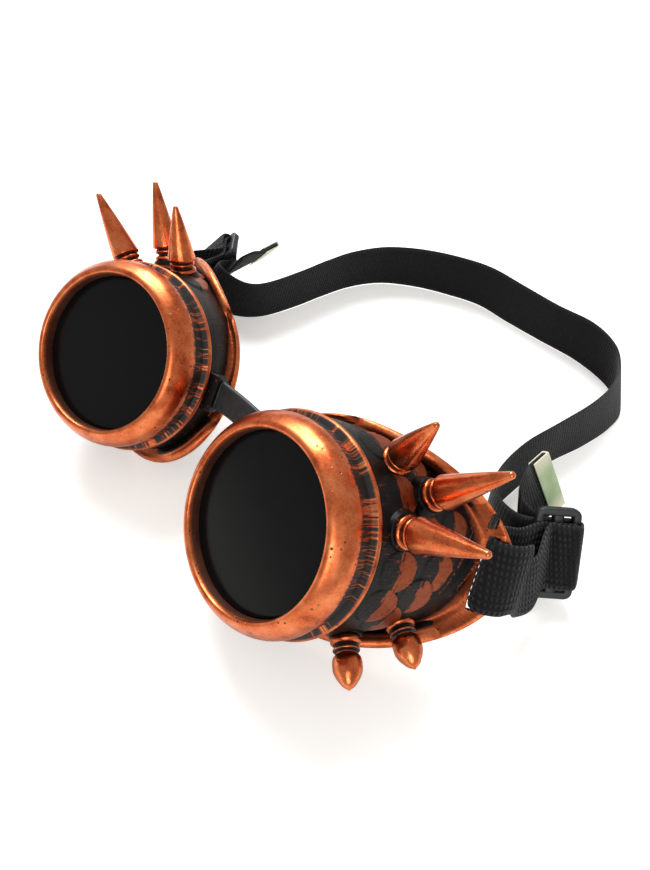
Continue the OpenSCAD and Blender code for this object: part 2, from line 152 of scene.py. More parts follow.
def attribute(tree, name, output="Fac"):
    return node(tree, "ShaderNodeAttribute", attribute_name=name).outputs[output]


def newMaterial(name):
    made = bpy.data.materials.new(name)
    made.use_nodes = True
    tree = made.node_tree
    tree.nodes.clear()
    out = node(tree, "ShaderNodeOutputMaterial")
    shader = node(tree, "ShaderNodeBsdfPrincipled")
    tree.links.new(shader.outputs[0], out.inputs["Surface"])
    return made, tree, shader


def feed(tree, shader, **values):
    names = {"colour": "Base Color", "metal": "Metallic", "rough": "Roughness", "normal": "Normal", "sheen": "Sheen Weight",
             "sheenRough": "Sheen Roughness", "level": "Specular IOR Level", "ior": "IOR", "through": "Transmission Weight"}
    for key, value in values.items():
        socket = shader.inputs[names[key]]
        if isinstance(value, bpy.types.NodeSocket):
            tree.links.new(value, socket)
        else:
            socket.default_value = linearOf(value) if isinstance(value, str) else value


# Distance in metres.
def bump(tree, height, distance):
    return node(tree, "ShaderNodeBump", {"Height": height, "Distance": distance, "Strength": 1.0}).outputs[0]


copperLook = {"bright": "#e88a58", "mid": "#cd673c", "deep": "#8e3d20", "soot": "#0c0908", "roughness": 0.31, "speckPerMm": 0.5}
# depths behind the lip in mm between which each zone of the ring comes in, and the bore's radii
ringZones = {"flankFront": (-6.0, -7.4), "flankRear": (-13.25, -12.85), "edge": (-9.6, -6.4), "inside": (-0.9, -2.1), "bore": (25.3, 24.8)}


# Antique copper: three tones in clouds about 6 mm across, with finer grain.
def copperTone(tree, mm):
    cloud = calc(tree, "ADD", calc(tree, "MULTIPLY", noise(tree, mm, 0.17, 4), 0.75), calc(tree, "MULTIPLY", noise(tree, mm, 1.6, 2), 0.25))
    return ramp(tree, cloud, [(0.30, copperLook["deep"]), (0.47, copperLook["mid"]), (0.68, copperLook["bright"])])


# Dark pits: a cell's centre distance below a limit, only where a slow noise allows.
def specks(tree, mm, size, low, high):
    cell = node(tree, "ShaderNodeTexVoronoi", {"Vector": mm, "Scale": size, "Randomness": 1.0}).outputs["Distance"]
    near = stepUp(tree, cell, 0.20, 0.10)
    allow = stepUp(tree, noise(tree, mm, 0.35, 2), low, high)
    return calc(tree, "MULTIPLY", near, allow)


def ringMaterial():
    # copper plating on an alloy casting: polished lip, black patina kept in the flank, brushed along the lens axis
    made, tree, shader = newMaterial("copperPlatedRing")
    mm = attribute(tree, "ownMm", "Vector")
    parts = node(tree, "ShaderNodeSeparateXYZ", {"Vector": mm})
    x, y, z = parts.outputs
    arc = calc(tree, "MULTIPLY", calc(tree, "ARCTAN2", y, x), 29.4)
    streakPlace = node(tree, "ShaderNodeCombineXYZ", {0: arc, 1: calc(tree, "MULTIPLY", z, 0.10), 2: 0.0}).outputs[0]
    streak = noise(tree, streakPlace, 1.15, 5, 0.62)
    patch = noise(tree, streakPlace, 0.11, 2)
    flank = calc(tree, "MULTIPLY", stepUp(tree, z, *ringZones["flankFront"]), stepUp(tree, z, *ringZones["flankRear"]))
    edge = stepUp(tree, z, *ringZones["edge"])
    cover = calc(tree, "ADD", calc(tree, "ADD", streak, calc(tree, "MULTIPLY", patch, 0.5)), calc(tree, "MULTIPLY", edge, 0.12))
    brushed = stepUp(tree, cover, 0.77, 0.90)
    soot = calc(tree, "MULTIPLY", flank, calc(tree, "SUBTRACT", 1.0, brushed))
    pits = specks(tree, mm, copperLook["speckPerMm"], 0.46, 0.58)
    inside = stepUp(tree, z, *ringZones["inside"])
    radius = calc(tree, "SQRT", calc(tree, "ADD", calc(tree, "MULTIPLY", x, x), calc(tree, "MULTIPLY", y, y)))
    bore = calc(tree, "MULTIPLY", inside, stepUp(tree, radius, *ringZones["bore"]))
    dark = calc(tree, "MAXIMUM", calc(tree, "MAXIMUM", soot, pits), calc(tree, "MULTIPLY", bore, 0.9))
    tone = copperTone(tree, mm)
    height = calc(tree, "ADD", calc(tree, "MULTIPLY", streak, flank), calc(tree, "MULTIPLY", pits, -0.6))
    feed(tree, shader, colour=blendColour(tree, dark, tone, copperLook["soot"]), metal=blendNumber(tree, dark, 1.0, 0.15),
         rough=blendNumber(tree, dark, copperLook["roughness"], 0.5), normal=bump(tree, height, 0.00018))
    return made


def spikeMaterial():
    # turned and copper plated alloy: bright cones with a soft grain, dark dye left in the grooves
    made, tree, shader = newMaterial("copperPlatedSpike")
    mm = attribute(tree, "ownMm", "Vector")
    groove = attribute(tree, "soot")
    grain = noise(tree, mm, 0.9, 4, 0.6, (1, 1, 0.25))
    pits = specks(tree, mm, 0.28, 0.52, 0.60)
    stain = stepUp(tree, calc(tree, "ADD", groove, calc(tree, "MULTIPLY", grain, 0.5)), 0.62, 0.90)
    dark = calc(tree, "MAXIMUM", stain, pits)
    feed(tree, shader, colour=blendColour(tree, dark, copperTone(tree, mm), copperLook["soot"]), metal=blendNumber(tree, dark, 1.0, 0.2),
         rough=blendNumber(tree, dark, 0.25, 0.5), normal=bump(tree, calc(tree, "SUBTRACT", grain, pits), 0.00012))
    return made


def cupMaterial():
    # moulded ABS painted black, then dry brushed with copper: colour stays on edges, scales and the rear flange
    made, tree, shader = newMaterial("dryBrushedAbs")
    mm = attribute(tree, "ownMm", "Vector")
    parts = node(tree, "ShaderNodeSeparateXYZ", {"Vector": mm})
    x, y, z = parts.outputs
    arc = calc(tree, "MULTIPLY", calc(tree, "ARCTAN2", y, x), 33.0)
    streakPlace = node(tree, "ShaderNodeCombineXYZ", {0: arc, 1: calc(tree, "MULTIPLY", z, 0.22), 2: 0.0}).outputs[0]
    streak = noise(tree, streakPlace, 1.3, 5, 0.65)
    acrossPlace = node(tree, "ShaderNodeCombineXYZ", {0: calc(tree, "MULTIPLY", arc, 0.25), 1: z, 2: 3.0}).outputs[0]
    across = noise(tree, acrossPlace, 1.1, 4, 0.65)
    patch = noise(tree, mm, 0.10, 2)
    scale, flange, rim = attribute(tree, "scaleFace"), attribute(tree, "flange"), attribute(tree, "rim")
    onScale = stepUp(tree, calc(tree, "ADD", scale, calc(tree, "MULTIPLY", calc(tree, "SUBTRACT", across, 0.5), 2.2)), 0.62, 0.74)
    worn = calc(tree, "ADD", noise(tree, mm, 0.5, 4), calc(tree, "MULTIPLY", flange, 0.3))
    onFlange = calc(tree, "MULTIPLY", flange, stepUp(tree, worn, 0.42, 0.60))
    onWall = calc(tree, "MULTIPLY", stepUp(tree, calc(tree, "ADD", streak, calc(tree, "MULTIPLY", patch, 0.7)), 0.98, 1.16), 0.75)
    copper = calc(tree, "MAXIMUM", calc(tree, "MAXIMUM", onScale, onFlange), calc(tree, "MAXIMUM", onWall, stepUp(tree, rim, 0.35, 0.6)))
    pits = specks(tree, mm, 0.5, 0.50, 0.62)
    copper = calc(tree, "MULTIPLY", copper, calc(tree, "SUBTRACT", 1.0, pits))
    brown = blendColour(tree, rim, blendColour(tree, noise(tree, mm, 0.6, 3), "#6b2f1a", "#a5522f"), copperTone(tree, mm))
    black = ramp(tree, noise(tree, mm, 0.3, 3), [(0.3, "#050404"), (0.7, "#131110")])
    feed(tree, shader, colour=blendColour(tree, copper, black, brown), metal=blendNumber(tree, copper, 0.0, 0.9),
         rough=blendNumber(tree, copper, 0.42, 0.36), level=0.16, normal=bump(tree, calc(tree, "ADD", across, streak), 0.00016))
    return made


def bossMaterial():
    made, tree, shader = newMaterial("blackenedAbs")
    # moulded ABS, painted black and left unbrushed: soft satin with a rare copper rub
    mm = attribute(tree, "ownMm", "Vector")
    rub = stepUp(tree, noise(tree, mm, 0.7, 4, 0.65), 0.60, 0.70)
    feed(tree, shader, colour=blendColour(tree, rub, "#090808", "#8a4527"), metal=blendNumber(tree, rub, 0.0, 0.85), rough=0.42, level=0.2,
         normal=bump(tree, noise(tree, mm, 1.4, 3), 0.00012))
    return made


def lensMaterial():
    made, tree, shader = newMaterial("smokedPolycarbonate")
    # dyed polycarbonate, welding dark: nearly black with a quiet polish, faint dust
    mm = attribute(tree, "ownMm", "Vector")
    dust = stepUp(tree, noise(tree, mm, 2.2, 2), 0.72, 0.80)
    polish = blendNumber(tree, noise(tree, mm, 0.08, 2), 0.12, 0.26)
    feed(tree, shader, colour=blendColour(tree, dust, "#0b0b0b", "#242627"), rough=polish, level=0.12)
    return made


elasticLook = {"floatMm": 1.5, "floatSlant": 0.15, "base": "#0d0d0f", "worn": "#3a3b3e", "edgePale": 0.35}


def elasticMaterial(name, ribPitch, ribDepth):
    # woven polyester elastic: charcoal, lengthwise cords of short dashed floats, slightly paler edges
    made, tree, shader = newMaterial(name)
    place = attribute(tree, "strapMm", "Vector")
    parts = node(tree, "ShaderNodeSeparateXYZ", {"Vector": place})
    along, across, edge = parts.outputs
    rib = calc(tree, "SINE", calc(tree, "MULTIPLY", across, 2 * math.pi / ribPitch))
    slanted = calc(tree, "ADD", along, calc(tree, "MULTIPLY", across, elasticLook["floatSlant"]))
    floats = calc(tree, "SINE", calc(tree, "MULTIPLY", slanted, 2 * math.pi / elasticLook["floatMm"]))
    weave = calc(tree, "MULTIPLY", floats, calc(tree, "ADD", calc(tree, "MULTIPLY", rib, 0.5), 0.5))
    fuzz = noise(tree, place, 2.5, 4, 0.7)
    paleEdge = calc(tree, "MULTIPLY", stepUp(tree, edge, 0.78, 1.0), elasticLook["edgePale"])
    paleFloats = calc(tree, "MULTIPLY", calc(tree, "MULTIPLY", weave, fuzz), ribDepth)
    pale = calc(tree, "ADD", calc(tree, "ADD", paleEdge, paleFloats), 0.0, True)
    height = calc(tree, "ADD", calc(tree, "MULTIPLY", weave, 0.6), fuzz)
    feed(tree, shader, colour=blendColour(tree, pale, elasticLook["base"], elasticLook["worn"]), rough=0.85, sheen=0.12,
         sheenRough=0.45, level=0.2, normal=bump(tree, height, 0.00022 * (0.5 + ribDepth)))
    return made


def sliderMaterial():
    made, tree, shader = newMaterial("mouldedAcetal")
    # injection moulded acetal: dark grey, waxy satin with a fine spark grain
    mm = attribute(tree, "ownMm", "Vector")
    feed(tree, shader, colour=ramp(tree, noise(tree, mm, 0.25, 3), [(0.3, "#17181a"), (0.7, "#26272a")]), rough=0.42,
         normal=bump(tree, noise(tree, mm, 3.0, 3), 0.00006))
    return made


def clipMaterial():
    made, tree, shader = newMaterial("lacqueredTinplate")
    # folded tinplate under a pale green lacquer: soft satin face, with a cream highlight painted on the ends and on the
    # fold's outer edge
    mm = attribute(tree, "ownMm", "Vector")
    # painted highlight: the mask kept in the soot attribute marks the ends and the fold's outer edge, which are
    # coloured cream for the light they catch
    paintedEdgeHighlight = attribute(tree, "soot")
    tone = ramp(tree, noise(tree, mm, 0.2, 3), [(0.3, "#9db285"), (0.7, "#b9cba2")])
    feed(tree, shader, colour=blendColour(tree, paintedEdgeHighlight, tone, "#ece6cf"), metal=0.35, rough=0.38, normal=bump(tree, noise(tree, mm, 2.0, 2), 0.00005))
    return made


def rubberMaterial(name, first, second):
    made, tree, shader = newMaterial(name)
    # moulded rubber: dark, matte, with a light bloom in patches
    mm = attribute(tree, "ownMm", "Vector")
    feed(tree, shader, colour=ramp(tree, noise(tree, mm, 0.4, 3), [(0.3, first), (0.75, second)]), rough=0.48,
         normal=bump(tree, noise(tree, mm, 1.8, 3), 0.00008))
    return made


# For the small hidden CAD pieces: clouded tone on the object's own coordinates.
def objectMaterial(name, first, second, **values):
    made, tree, shader = newMaterial(name)
    place = node(tree, "ShaderNodeTexCoord").outputs["Object"]
    tone = ramp(tree, noise(tree, place, 600, 3), [(0.3, first), (0.7, second)])
    feed(tree, shader, colour=tone, normal=bump(tree, noise(tree, place, 2500, 2), 0.00004), **values)
    return made


finish = {
    "ring": ringMaterial(), "spike": spikeMaterial(), "cup": cupMaterial(), "boss": bossMaterial(), "lens": lensMaterial(),
    "smoothElastic": elasticMaterial("wovenElastic", 1.4, 0.25), "ribbedElastic": elasticMaterial("ribbedElastic", 2.05, 0.9),
    "slider": sliderMaterial(), "clip": clipMaterial(), "bridge": rubberMaterial("mouldedRubberBand", "#1b1c1e", "#2c2d30"),
    "clear": objectMaterial("clearPolycarbonate", "#dfe6e6", "#eef3f3", rough=0.05, through=1.0, ior=1.58),
    "gasket": objectMaterial("siliconeGasket", "#141414", "#232323", rough=0.6),
    "screw": objectMaterial("zincPlatedScrew", "#8d8f90", "#b9bbbc", rough=0.3, metal=1.0),
}
print("materials made")


# Points in millimetres, faces as index arrays.
# Doubles are merged, and faces turned outwards where the signed volume is negative.
def meshFrom(name, points, faces, attributes=None, weld=True, sharpDeg=38):
    mesh = bpy.data.meshes.new(name)
    mesh.from_pydata((points / 1000).tolist(), [], [list(map(int, f)) for f in faces])
    for key, values in (attributes or {}).items():
        values = np.asarray(values, np.float32)
        kind = "FLOAT_VECTOR" if values.ndim == 2 else "FLOAT"
        layer = mesh.attributes.new(key, kind, "POINT")
        layer.data.foreach_set("vector" if values.ndim == 2 else "value", values.ravel())
    work = bmesh.new()
    work.from_mesh(mesh)
    if weld:
        bmesh.ops.remove_doubles(work, verts=work.verts, dist=2e-6)
    if work.calc_volume(signed=True) < 0:
        bmesh.ops.reverse_faces(work, faces=work.faces)
    work.to_mesh(mesh)
    work.free()
    mesh.polygons.foreach_set("use_smooth", np.ones(len(mesh.polygons), bool))
    mesh.set_sharp_from_angle(angle=math.radians(sharpDeg))
    made = bpy.data.objects.new(name, mesh)
    bpy.context.scene.collection.objects.link(made)
    return made


# Quads of a rows by columns grid; a closed direction joins its last line to its first.
def gridFaces(rows, columns, closeRows, closeColumns, start=0):
    index = np.arange(rows * columns).reshape(rows, columns) + start
    a = index if closeRows else index[:-1]
    b = np.roll(index, -1, 0) if closeRows else index[1:]
    if closeColumns:
        quads = np.stack([a, b, np.roll(b, -1, 1), np.roll(a, -1, 1)], -1)
    else:
        quads = np.stack([a[:, :-1], b[:, :-1], b[:, 1:], a[:, 1:]], -1)
    return quads.reshape(-1, 4)


# A tube's grid of quads, closed round its columns, with one face over each end.
def tubeFaces(rows, columns):
    last = (rows - 1) * columns
    return [list(q) for q in gridFaces(rows, columns, False, True)] + [list(range(columns)), list(range(last, last + columns))]


# Catmull-Rom: 0.5 (2b + (c-a)t + (2a-5b+4c-d)t^2 + (3b-a-3c+d)t^3) on each span, steps samples a span.
def curveThrough(knots, steps):
    knots = np.asarray(knots, float)
    padded = np.concatenate([knots[:1], knots, knots[-1:]])
    spans = []
    for i in range(len(knots) - 1):
        a, b, c, d = padded[i:i + 4]
        count = steps[i] if hasattr(steps, "__len__") else steps
        t = (np.arange(count) / count).reshape((-1,) + (1,) * (knots.ndim - 1))
        spans.append(0.5 * (2 * b + (c - a) * t + (2 * a - 5 * b + 4 * c - d) * t ** 2 + (3 * b - a - 3 * c + d) * t ** 3))
    return np.concatenate(spans + [knots[-1:]])


def put(piece, body, nodes, material):
    piece.data.materials.append(material)
    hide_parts(*nodes)
    if body:
        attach(piece, body)
    return piece


# Surface of revolution: (r cos a, r sin a, z) over the angles and the profile's (r, z) points.
def lathe(profile, turns):
    a = np.linspace(0, 2 * np.pi, turns, endpoint=False)[:, None]
    r, z = profile[:, 0][None, :], profile[:, 1][None, :]
    return np.stack([r * np.cos(a), r * np.sin(a), np.broadcast_to(z, (turns, len(profile)))], -1)


# Each corner of a polyline becomes a short quadratic arc: (1-t)^2 p + 2t(1-t) c + t^2 q.
def rounded(points, radius, steps=4, closed=False):
    points = np.asarray(points, float)
    out = []
    count = len(points)
    for i in range(count):
        c = points[i]
        if not closed and i in (0, count - 1):
            out.append(c[None])
            continue
        before, after = points[i - 1] - c, points[(i + 1) % count] - c
        reach = min(radius, 0.45 * np.linalg.norm(before), 0.45 * np.linalg.norm(after))
        p, q = c + unit(before) * reach, c + unit(after) * reach
        t = np.linspace(0, 1, steps)[:, None]
        out.append((1 - t) ** 2 * p + 2 * t * (1 - t) * c + t ** 2 * q)
    return np.concatenate(out)


ringValues = {"lipRadius": 30.0, "windowRadius": 24.4, "depth": 14.8, "beadRadius": 31.5, "boreRadius": 28.0, "turns": 240}


def ringProfile(v):
    lip = np.array([[v["windowRadius"], -4.5], [v["windowRadius"], -1.2], [v["windowRadius"] + 0.4, -0.5], [v["windowRadius"] + 1.2, -0.3],
                    [26.6, -0.8], [27.7, -1.9], [28.7, -3.1], [29.4, -4.4], [29.85, -5.6], [v["lipRadius"], -6.8], [29.85, -7.8], [29.5, -8.5]])
    lip = np.concatenate([lip[:1], curveThrough(lip[1:], 4)])
    bead = curveThrough([[29.45, -12.4], [30.5, -12.8], [31.2, -13.15], [v["beadRadius"], -13.8], [31.2, -14.45], [30.6, -v["depth"]]], 4)
    inner = np.array([[v["boreRadius"], -v["depth"]], [v["boreRadius"], -9.5], [25.7, -9.2], [25.7, -4.5], [v["windowRadius"], -4.5]])
    return np.concatenate([lip, [[29.36, -8.9], [29.36, -12.1]], bead, rounded(inner, 0.2)])


def makeRing(side):
    grid = lathe(ringProfile(ringValues), ringValues["turns"])
    turns, count = grid.shape[:2]
    own = grid.reshape(-1, 3)
    piece = meshFrom(side + "LensRing", toWorld(side, own), gridFaces(turns, count, True, False), {"ownMm": own})
    return put(piece, side + "_ring", [side + "_retaining_ring"], finish["ring"])


lensValues = {"radius": 25.4, "front": -4.2, "shoulder": -4.6, "back": -6.6, "window": 24.1, "edge": 0.3}


def makeLens(side):
    v = lensValues
    corners = [[22.5, v["front"]], [v["window"], v["front"]], [v["window"], v["shoulder"]],
               [v["radius"], v["shoulder"]], [v["radius"], v["back"]], [22.5, v["back"]]]
    profile = np.concatenate([[[0.0, v["front"]]], [[r, v["front"]] for r in (8, 16, 22)], rounded(corners, v["edge"]), [[0.0, v["back"]]]])
    grid = lathe(profile, 144)
    own = grid.reshape(-1, 3)
    piece = meshFrom(side + "SmokedLens", toWorld(side, own), gridFaces(grid.shape[0], grid.shape[1], True, False), {"ownMm": own})
    return put(piece, side + "_lens_pack", [side + "_tinted_lens"], finish["lens"])


for side in ("left", "right"):
    makeRing(side)
    makeLens(side)
    for nodeName, key in (("_clear_lens", "clear"), ("_lens_gasket", "gasket"), ("_spike_screws", "screw")):
        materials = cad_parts[side + nodeName].data.materials
        materials.clear()
        materials.append(finish[key])
print("rings and lenses made")

cupValues = {
    "frontRadius": 30.2, "wall": 2.2, "rimNose": 36.0, "rimTemple": 46.5, "rimHalf": 31.6, "bead": 1.5,
    "collarRadius": 27.92, "threadDepth": 0.28, "threadPitch": 2.0,
    "scaleSize": 5.8, "scaleLift": 1.25, "slitLines": ((-47.85, 0.418), (-54.99, 0.446)),
    # strap slot and the small slot above it: centre, width by length by depth, tilt and spin in degrees
    "slots": [((41.09, 0, -57.92), (2.6, 23.0, 16), 50, 0.0), ((39.6, 15.8, -56.4), (2.0, 4.4, 12), 50, 14)],
    # angle round the cup and depth behind the lip of each half-moon's centre
    "scales": [(34, -22.8), (-1, -23.8), (-1, -39.0), (-13.5, -34.6), (16, -31), (-20, -23), (-29, -29.5), (17, -44), (48, -31.5),
               (62, -24.5)],
    # foot radius, angle, depth, lean forward, lean round, share of the cone
    "longSpikes": [(32.6, 51, -26.6, 0.58, -0.13, 0.8), (36.9, 32.4, -31.7, 0.34, -0.02, 1), (33.4, 17.8, -22.5, 0.33, -0.1, 1)],
    "shortSpikes": [(33.4, -50, -28, 0.45, 0.1), (34.6, -34, -41.8, 0.35, 0)],
    "bridgeAngle": 142.0, "bridgeDepth": -18.6, "bridgeWidth": 9.5,
}


# Fine steps on the temple side, coarser towards the nose.
def cupAngles():
    return np.radians(np.concatenate([np.linspace(-64, 72, 300, endpoint=False), np.linspace(72, 296, 130, endpoint=False)]))


def rimLine(a):
    v = cupValues
    x = (v["rimTemple"] - v["rimNose"]) / 2 + (v["rimTemple"] + v["rimNose"]) / 2 * np.cos(a)
    z = -31 - np.where(x > 0, 0.0152 * x * x, -0.0085 * x * x)
    return np.stack([x, v["rimHalf"] * np.sin(a), z], -1)


def waistLine(a):
    c = np.cos(a)
    w = ((1 + c) / 2) ** 1.9
    return np.stack([3.4 + 35.4 * c, (cupValues["rimHalf"] - 1.2) * np.sin(a), -24.6 * (1 - w) - 55.4 * w + np.where(c < 0, 2.6 * c * c, 0)], -1)


def smoothStep(x, low, high):
    t = np.clip((x - low) / (high - low), 0, 1)
    return t * t * (3 - 2 * t)


# The wall as a closed section carried round the cup: collar, outside, flange, bead and inside. Rows run
# along the section, columns round the cup.
def cupSurface():
    v = cupValues
    a = cupAngles()
    out = np.stack([np.cos(a), np.sin(a), np.zeros_like(a)], -1)
    up = np.array([0, 0, 1.0])
    front = out * v["frontRadius"] - up * 15.2
    waist, rim = waistLine(a), rimLine(a)
    d = unit(rim - waist)
    n = unit(out - d * (out * d).sum(1, keepdims=True))
    mid = [front + (waist - front) * 0.33 + out * 0.35, front + (waist - front) * 0.68 + out * 0.25]
    flange = waist + (rim - waist) * 0.55 + n * 0.1
    beadAngle = np.radians(np.linspace(112, -112, 15))
    bead = [rim + v["bead"] * (math.cos(t) * d + math.sin(t) * n) for t in beadAngle]
    outer = curveThrough(np.stack([front, mid[0], mid[1], waist, flange, bead[0]]), [22, 24, 30, 14, 8])
    inner = [flange - n * (v["wall"] - 0.2), waist - out * v["wall"] - up * 0.6, mid[1] - out * v["wall"], mid[0] - out * v["wall"],
             front - out * v["wall"]]
    inside = curveThrough(np.stack([bead[-1]] + inner), [4, 5, 8, 8, 6])
    # helical thread on the collar: depth times a cosine of the height over the pitch less the angle
    zs = np.linspace(-14.8, -10.4, 36)
    thread = [out * (v["collarRadius"] - 0.28 + v["threadDepth"] * np.cos(2 * np.pi * z / v["threadPitch"] - a))[:, None] + up * z for z in zs]
    collarFront = [out * 25.6 - up * 17.6, out * 25.6 - up * 9.9, out * 25.9 - up * 9.7, out * 27.3 - up * 9.7]
    collar = collarFront + thread[::-1] + [out * 27.6 - up * 15.0, out * 29.8 - up * 15.0]
    grid = np.concatenate([np.stack(collar), outer, np.stack(bead[1:-1]), inside[1:]])
    return a, grid, len(collar), len(collar) + len(outer), len(collar) + len(outer) + len(bead) - 2


# Half-moon scales: lift grows towards the rear of a disc and drops at its edge.
# Louvres: two steps and two slits in front of the slot.
def cupRelief(own, a):
    v = cupValues
    angle = np.arctan2(own[..., 1], own[..., 0])
    radius = np.hypot(own[..., 0], own[..., 1])
    lift, face = np.zeros(own.shape[:-1]), np.zeros(own.shape[:-1])
    for deg, depth in v["scales"]:
        du = (angle - math.radians(deg)) * radius
        dv = own[..., 2] - depth
        disc = smoothStep(-np.hypot(du, dv), -v["scaleSize"] - 0.12, -v["scaleSize"] + 0.12)
        rise = np.clip(0.5 - dv / (2 * v["scaleSize"]), 0, 1)
        lift = np.maximum(lift, disc * v["scaleLift"] * (0.12 + 0.88 * rise ** 1.3))
        face = np.maximum(face, disc * smoothStep(rise, 0.30, 0.62))
    # slits: depth = start - slope * y, cut 0.9 deep and 1 wide, the lip in front of each raised a little
    beside = np.abs(own[..., 1] - 1.5)
    for start, slope in v["slitLines"]:
        across = own[..., 2] - start + slope * own[..., 1]
        within = smoothStep(-beside, -11.3, -10.3) * (own[..., 0] > 0)
        clear = 1 - within * smoothStep(-np.abs(across), -3.6, -2.6)
        lift, face = lift * clear, face * clear
        raised = 0.5 * smoothStep(across, 0.45, 0.7) * smoothStep(-across, -3.0, -0.7)
        lift = lift + within * (raised - 0.9 * smoothStep(-np.abs(across), -0.62, -0.42))
        face = np.maximum(face, within * 0.8 * smoothStep(-np.abs(across + 0.85), -0.34, -0.16))
    return lift, face


# Box in the cup's axes, turned by tilt about y and spin about z.
def cutterBox(name, side, centre, size, tilt, spin):
    corner = np.array([[x, y, z] for x in (-0.5, 0.5) for y in (-0.5, 0.5) for z in (-0.5, 0.5)]) * size
    own = corner @ (turnZ(spin) @ turnY(tilt)).T + centre
    faces = [(0, 1, 3, 2), (4, 6, 7, 5), (0, 4, 5, 1), (2, 3, 7, 6), (0, 2, 6, 4), (1, 5, 7, 3)]
    return meshFrom(name, toWorld(side, own), faces, weld=False)


def makeCup(side):
    v = cupValues
    a, grid, outerStart, beadStart, insideStart = cupSurface()
    wall = grid[outerStart:beadStart]
    along = np.gradient(wall, axis=0)
    around = np.roll(wall, -1, 1) - np.roll(wall, 1, 1)
    normal = unit(np.cross(along, around))
    outward = np.sign((normal * np.stack([np.cos(a), np.sin(a), 0 * a], -1)).sum(-1, keepdims=True))
    lift, face = cupRelief(wall, a)
    fade = smoothStep(np.arange(len(wall)), 0, 5)[:, None]
    grid[outerStart:beadStart] = wall + normal * outward * (lift * fade)[..., None]
    place = np.arange(len(grid))[:, None] * np.ones(len(a))
    flange = smoothStep(place, outerStart + 74, outerStart + 80) * (place < insideStart + 2)
    rim = smoothStep(place, beadStart - 3, beadStart + 1) * (place < insideStart + 1)
    scaleFace = np.zeros(grid.shape[:2])
    scaleFace[outerStart:beadStart] = face
    rows, columns = grid.shape[:2]
    own = grid.reshape(-1, 3)
    piece = meshFrom(side + "CupShell", toWorld(side, own), gridFaces(rows, columns, True, True),
                     {"ownMm": own, "scaleFace": scaleFace.ravel(), "flange": flange.ravel(), "rim": rim.ravel()}, sharpDeg=50)
    cutters = [cutterBox(name, side, np.array(centre), np.array(size), tilt, spin)
               for name, (centre, size, tilt, spin) in zip(("slotCutter", "smallCutter"), v["slots"])]
    for cutter in cutters:
        cut = piece.modifiers.new("cut", "BOOLEAN")
        cut.object, cut.operation, cut.solver = cutter, "DIFFERENCE", "EXACT"
    bpy.context.view_layer.update()
    cutMesh = bpy.data.meshes.new_from_object(piece.evaluated_get(bpy.context.evaluated_depsgraph_get()))
    piece.modifiers.clear()
    piece.data = cutMesh
    for cutter in cutters:
        bpy.data.objects.remove(cutter)
    piece.data.materials.clear()
    return put(piece, side + "_cup", [side + "_eye_cup"], finish["cup"])


# A spike's foot and its three axes: the axis is the radial line leaned forward and round.
def spikeFrame(spec):
    radius, angle, depth, forward, roundLean = spec[:5]
    t = math.radians(angle)
    radial, tangent = np.array([math.cos(t), math.sin(t), 0]), np.array([-math.sin(t), math.cos(t), 0])
    axis = unit(radial + roundLean * tangent + forward * np.array([0, 0, 1.0]))
    first = unit(np.cross([0, 0, 1.0], axis))
    return radial * radius + np.array([0, 0, depth]), np.stack([first, np.cross(axis, first), axis])


spikeValues = {"coneLength": 22.0, "coneRadius": 4.7, "budLength": 10.0, "budRadius": 4.1, "tip": 1.0}


def longProfile(share):
    v = spikeValues
    foot = rounded([[0, 0], [4.2, 0], [4.45, 0.4], [4.45, 1.1], [4.0, 1.5], [3.15, 1.7], [3.15, 2.2], [3.9, 2.4], [4.2, 2.8],
                    [4.1, 3.3], [3.5, 3.6], [3.4, 3.95], [v["coneRadius"] - 0.4, 4.05], [v["coneRadius"], 4.5], [v["coneRadius"] - 0.1, 5.2]], 0.18, 3)
    top = 3 + v["coneLength"] * share
    t = np.linspace(0.06, 1, 14)[:, None]
    swell = np.array([[0.12, 0]]) * np.sin(np.pi * t)
    cone = np.array([[v["coneRadius"] - 0.1, 5.2]]) * (1 - t) + np.array([[v["tip"], top + 0.1]]) * t + swell
    cap = np.array([[v["tip"] * math.cos(q), top + v["tip"] * math.sin(q)] for q in np.radians([15, 35, 55, 75, 90])])
    return np.concatenate([foot, cone, cap])


def shortProfile():
    v = spikeValues
    r, length = v["budRadius"], v["budLength"]
    foot = rounded([[0, 0], [4.0, 0], [4.35, 0.5], [4.35, 1.6], [3.8, 2.1], [3.0, 2.4], [3.0, 2.9], [3.6, 3.1], [3.85, 3.5],
                    [3.6, 3.9], [2.9, 4.15], [2.8, 4.5]], 0.2, 3)
    bud = curveThrough([[2.9, 4.6], [3.75, 5.4], [r, 6.6], [r, 8.2], [r * 0.97, 3.9 + length * 0.52], [r * 0.82, 3.9 + length * 0.66],
                        [r * 0.62, 3.9 + length * 0.78], [r * 0.42, 3.9 + length * 0.88], [0.7, 3.9 + length - 0.5], [0.0, 3.9 + length]], 3)
    return np.concatenate([foot, bud])


def makeSpike(side, name, nodeName, spec, profile):
    foot, axes = spikeFrame(spec)
    grid = lathe(profile, 56)
    local = grid.reshape(-1, 3)
    own = local @ axes + foot
    # dark dye sits where the profile is narrow near the foot
    soot = np.where(local[:, 2] < 4.4, smoothStep(-np.hypot(local[:, 0], local[:, 1]), -3.95, -3.4), 0) * (local[:, 2] > 0.2)
    # the name's length moves the pattern, so that the spikes differ
    attributes = {"ownMm": local + len(name), "soot": soot}
    piece = meshFrom(side + name, toWorld(side, own), gridFaces(grid.shape[0], grid.shape[1], True, False), attributes)
    return put(piece, side + "_cup", [side + nodeName], finish["spike"])


# Moulded details with no node of their own: they belong to the cup.
def onCup(piece, side):
    piece.data.materials.append(finish["boss"])
    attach(piece, side + "_cup")
    return piece


